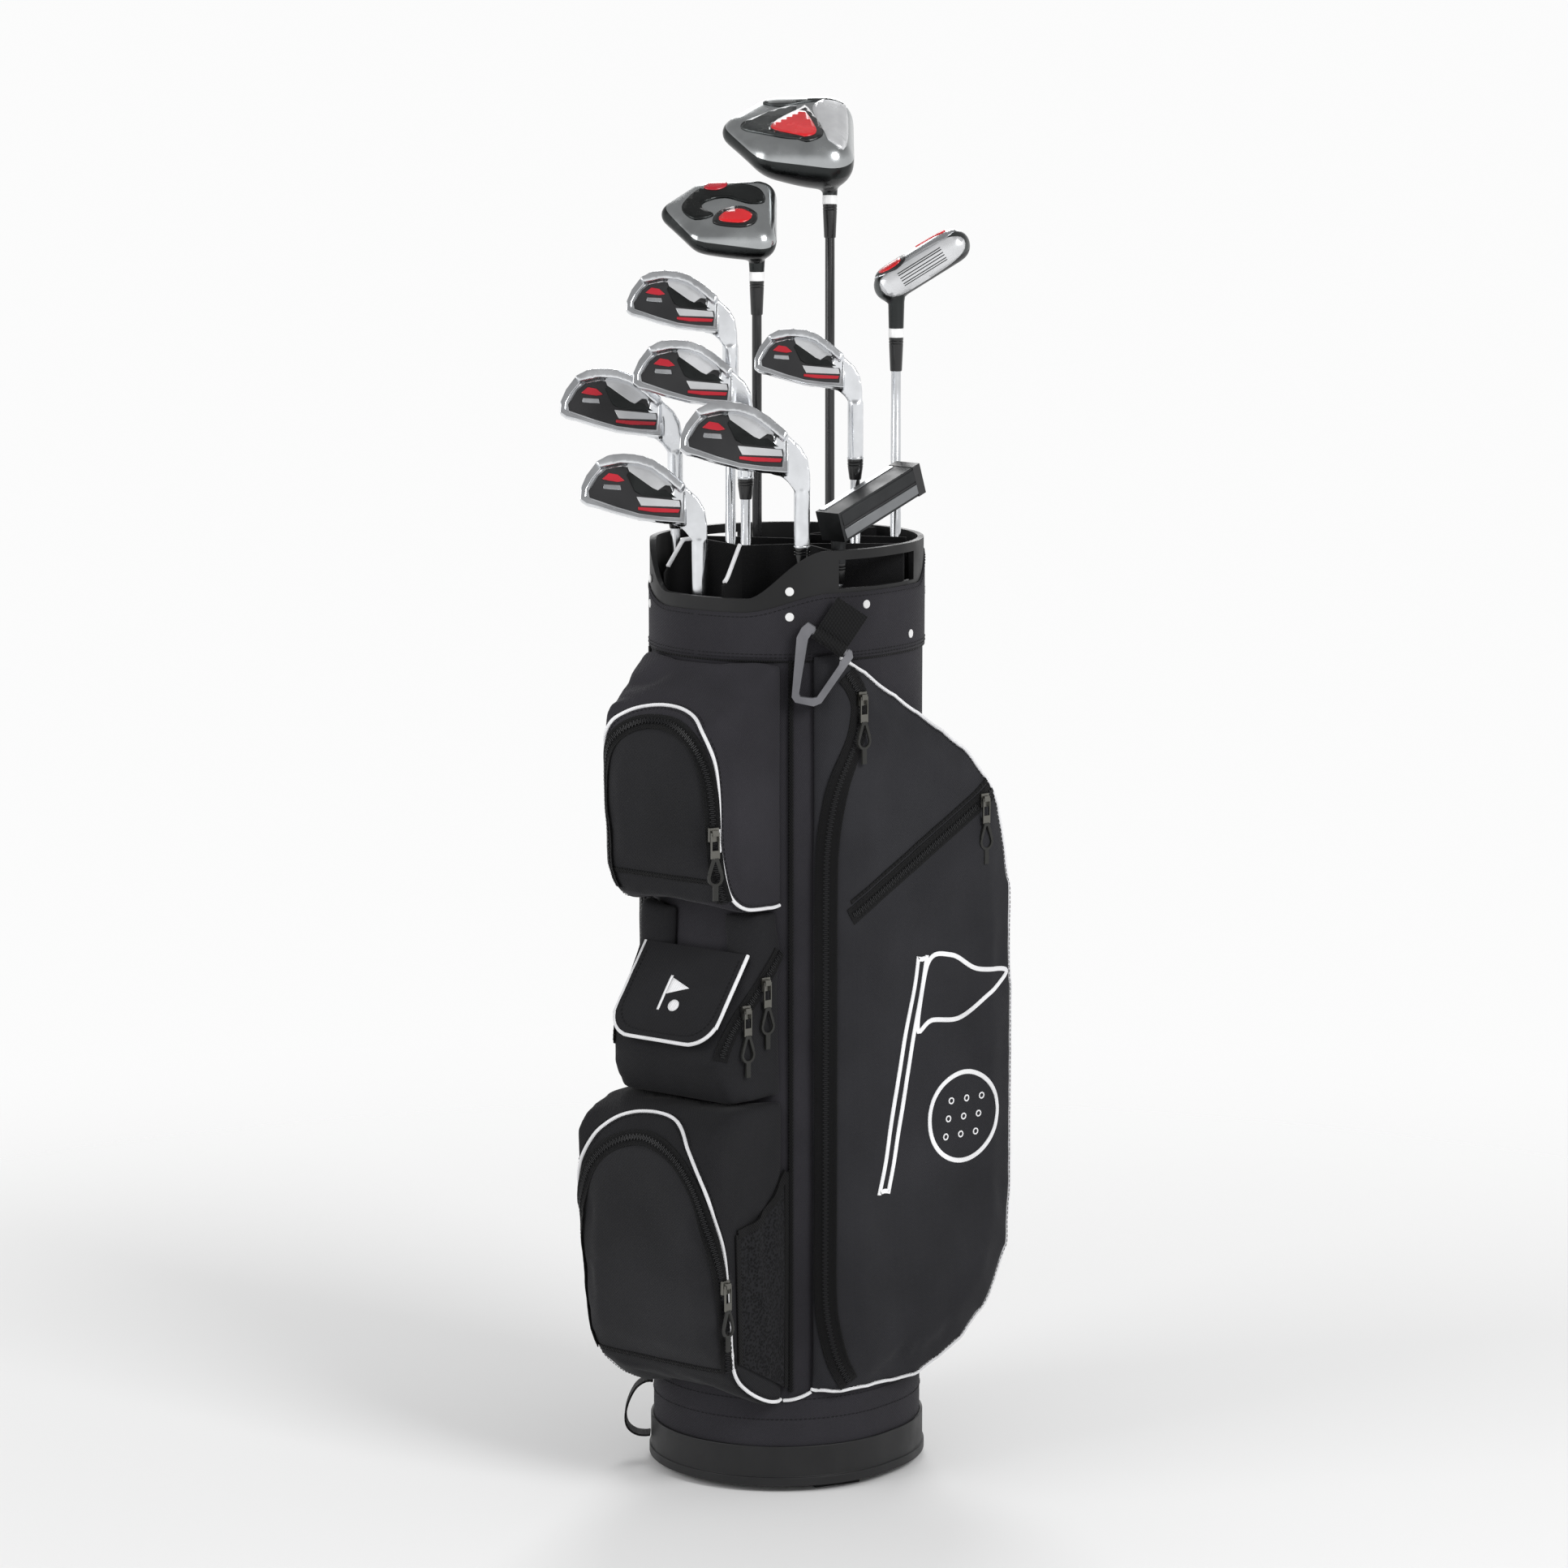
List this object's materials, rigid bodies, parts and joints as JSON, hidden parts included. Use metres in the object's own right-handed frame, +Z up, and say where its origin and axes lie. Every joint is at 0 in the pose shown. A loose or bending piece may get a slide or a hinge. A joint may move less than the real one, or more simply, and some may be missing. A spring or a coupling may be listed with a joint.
{
  "type": "golf club set in a cart bag",
  "caption": "Cart golf bag with zipped pockets, a moulded club divider top, and driver, wood, hybrid, irons and putter standing in it.",
  "frame": {"origin": "on the ground under the axis of the bag's tube, in the plane of the feet", "axes": "+Z up along the tube, -Y to the front with the accessory pockets, +X to the bag's right side pocket"},
  "size_m": [0.3235, 0.3955, 1.2152],
  "materials": {
    "black_nylon": "coarse woven nylon, matt",
    "black_mesh": "open knitted mesh",
    "divider_fabric": "brushed nylon over board",
    "foam_pad": "closed-cell foam",
    "moulded_black": "fine moulded texture",
    "rubber_foot": "matt",
    "rivet_metal": "satin",
    "grey_plastic": "satin moulded",
    "black_webbing": "ribbed webbing",
    "zip_metal": "dark nickel",
    "zip_pull": "moulded cord loop",
    "club_grip": "ribbed rubber",
    "graphite_shaft": "lacquered graphite",
    "steel_shaft": "polished",
    "wood_head": "polished sole with black and red panels",
    "hybrid_head": "satin face with black and red panels",
    "putter_metal": "dark bead-blasted",
    "iron_chrome": "polished, with black and red cavity panels"
  },
  "bodies": {
    "bag": {"base_cup": "moulded_black", "base_feet": "rubber_foot", "floor_pad": "foam_pad", "body_tube": "black_nylon", "top_collar": "moulded_black", "club_dividers": "divider_fabric", "collar_rivets": "rivet_metal", "upper_pocket": "black_nylon", "middle_pocket": "black_nylon", "lower_pocket": "black_nylon", "mesh_pocket": "black_mesh", "right_side_pocket": "black_nylon", "left_side_pocket": "black_nylon", "ring_strap": "black_webbing", "base_loop": "black_webbing"},
    "driver": {"driver_head": "wood_head", "driver_shaft": "graphite_shaft", "driver_grip": "club_grip"},
    "fairway_wood": {"fairway_wood_head": "wood_head", "fairway_wood_shaft": "graphite_shaft", "fairway_wood_grip": "club_grip"},
    "hybrid": {"hybrid_head": "hybrid_head", "hybrid_shaft": "graphite_shaft", "hybrid_grip": "club_grip"},
    "putter": {"putter_head": "putter_metal", "putter_shaft": "steel_shaft", "putter_grip": "club_grip"},
    "six_iron": {"six_iron_head": "iron_chrome", "six_iron_shaft": "steel_shaft", "six_iron_grip": "club_grip"},
    "seven_iron": {"seven_iron_head": "iron_chrome", "seven_iron_shaft": "steel_shaft", "seven_iron_grip": "club_grip"},
    "eight_iron": {"eight_iron_head": "iron_chrome", "eight_iron_shaft": "steel_shaft", "eight_iron_grip": "club_grip"},
    "nine_iron": {"nine_iron_head": "iron_chrome", "nine_iron_shaft": "steel_shaft", "nine_iron_grip": "club_grip"},
    "pitching_wedge": {"pitching_wedge_head": "iron_chrome", "pitching_wedge_shaft": "steel_shaft", "pitching_wedge_grip": "club_grip"},
    "sand_wedge": {"sand_wedge_head": "iron_chrome", "sand_wedge_shaft": "steel_shaft", "sand_wedge_grip": "club_grip"},
    "flap": {"pocket_flap": "black_nylon"},
    "ring": {"towel_ring": "grey_plastic"},
    "upper_zip_slider": {"upper_zip_slider": "zip_metal"},
    "upper_zip_pull": {"upper_zip_pull": "zip_pull"},
    "lower_zip_slider": {"lower_zip_slider": "zip_metal"},
    "lower_zip_pull": {"lower_zip_pull": "zip_pull"},
    "middle_zip_top_slider": {"middle_zip_slider_top": "zip_metal"},
    "middle_zip_top_pull": {"middle_zip_pull_top": "zip_pull"},
    "middle_zip_low_slider": {"middle_zip_slider_low": "zip_metal"},
    "middle_zip_low_pull": {"middle_zip_pull_low": "zip_pull"},
    "side_zip_slider": {"side_zip_slider": "zip_metal"},
    "side_zip_pull": {"side_zip_pull": "zip_pull"},
    "welt_zip_slider": {"welt_zip_slider": "zip_metal"},
    "welt_zip_pull": {"welt_zip_pull": "zip_pull"}
  },
  "joints": [
    {"name": "driver_lift", "type": "slide", "parent": "bag", "child": "driver", "axis": [-0.0644, 0.0824, 0.9945], "range_m": [0, 0.79]},
    {"name": "fairway_wood_lift", "type": "slide", "parent": "bag", "child": "fairway_wood", "axis": [0, 0, 1], "range_m": [0, 0.79]},
    {"name": "hybrid_lift", "type": "slide", "parent": "bag", "child": "hybrid", "axis": [0, 0, 1], "range_m": [0, 0.79]},
    {"name": "putter_lift", "type": "slide", "parent": "bag", "child": "putter", "axis": [0, 0, 1], "range_m": [0, 0.79]},
    {"name": "six_iron_lift", "type": "slide", "parent": "bag", "child": "six_iron", "axis": [0, 0, 1], "range_m": [0, 0.79]},
    {"name": "seven_iron_lift", "type": "slide", "parent": "bag", "child": "seven_iron", "axis": [0, 0, 1], "range_m": [0, 0.79]},
    {"name": "eight_iron_lift", "type": "slide", "parent": "bag", "child": "eight_iron", "axis": [0, 0, 1], "range_m": [0, 0.79]},
    {"name": "nine_iron_lift", "type": "slide", "parent": "bag", "child": "nine_iron", "axis": [0, 0, 1], "range_m": [0, 0.79]},
    {"name": "pitching_wedge_lift", "type": "slide", "parent": "bag", "child": "pitching_wedge", "axis": [0, 0, 1], "range_m": [0, 0.79]},
    {"name": "sand_wedge_lift", "type": "slide", "parent": "bag", "child": "sand_wedge", "axis": [0, 0, 1], "range_m": [0, 0.79]},
    {"name": "flap_hinge", "type": "hinge", "parent": "bag", "child": "flap", "pos_m": [0, -0.1275, 0.486], "axis": [-1, 0, 0], "range_deg": [0, 100]},
    {"name": "ring_hinge", "type": "hinge", "parent": "bag", "child": "ring", "pos_m": [0.09729, -0.09058, 0.77], "axis": [-0.6937, -0.4679, 0.5476], "range_deg": [0, 80]},
    {"name": "upper_zip_slide", "type": "slide", "parent": "bag", "child": "upper_zip_slider", "axis": [0, -0.03, 0.9996], "range_m": [-0.03, 0.03]},
    {"name": "upper_zip_pull_hinge", "type": "hinge", "parent": "upper_zip_slider", "child": "upper_zip_pull", "pos_m": [0.06454, -0.18211, 0.6015], "axis": [-0.3843, -0.9232, 0], "range_deg": [0, 120]},
    {"name": "lower_zip_slide", "type": "slide", "parent": "bag", "child": "lower_zip_slider", "axis": [0, -0.137, 0.9906], "range_m": [-0.055, 0.07]},
    {"name": "lower_zip_pull_hinge", "type": "hinge", "parent": "lower_zip_slider", "child": "lower_zip_pull", "pos_m": [0.0823, -0.188, 0.2075], "axis": [0, -1, 0], "range_deg": [0, 120]},
    {"name": "middle_zip_top_slide", "type": "slide", "parent": "bag", "child": "middle_zip_top_slider", "axis": [0.1133, 0.583, 0.8045], "range_m": [0, 0.026]},
    {"name": "middle_zip_top_pull_hinge", "type": "hinge", "parent": "middle_zip_top_slider", "child": "middle_zip_top_pull", "pos_m": [0.07541, -0.1239, 0.4635], "axis": [-0.1908, -0.9816, 0], "range_deg": [0, 120]},
    {"name": "middle_zip_low_slide", "type": "slide", "parent": "bag", "child": "middle_zip_low_slider", "axis": [0.134, 0.6881, 0.7131], "range_m": [-0.024, 0]},
    {"name": "middle_zip_low_pull_hinge", "type": "hinge", "parent": "middle_zip_low_slider", "child": "middle_zip_low_pull", "pos_m": [0.07111, -0.1459, 0.4415], "axis": [-0.1908, -0.9816, 0], "range_deg": [0, 120]},
    {"name": "side_zip_slide", "type": "slide", "parent": "bag", "child": "side_zip_slider", "axis": [0.0224, 0.1055, 0.9942], "range_m": [-0.035, 0.004]},
    {"name": "side_zip_pull_hinge", "type": "hinge", "parent": "side_zip_slider", "child": "side_zip_pull", "pos_m": [0.1242, -0.05078, 0.7095], "axis": [-0.2079, -0.9781, 0], "range_deg": [0, 120]},
    {"name": "welt_zip_slide", "type": "slide", "parent": "bag", "child": "welt_zip_slider", "axis": [-0.1804, -0.8486, -0.4974], "range_m": [0, 0.14]},
    {"name": "welt_zip_pull_hinge", "type": "hinge", "parent": "welt_zip_slider", "child": "welt_zip_pull", "pos_m": [0.1542, 0.08922, 0.6055], "axis": [-0.2079, -0.9781, 0], "range_deg": [0, 120]}
  ]
}
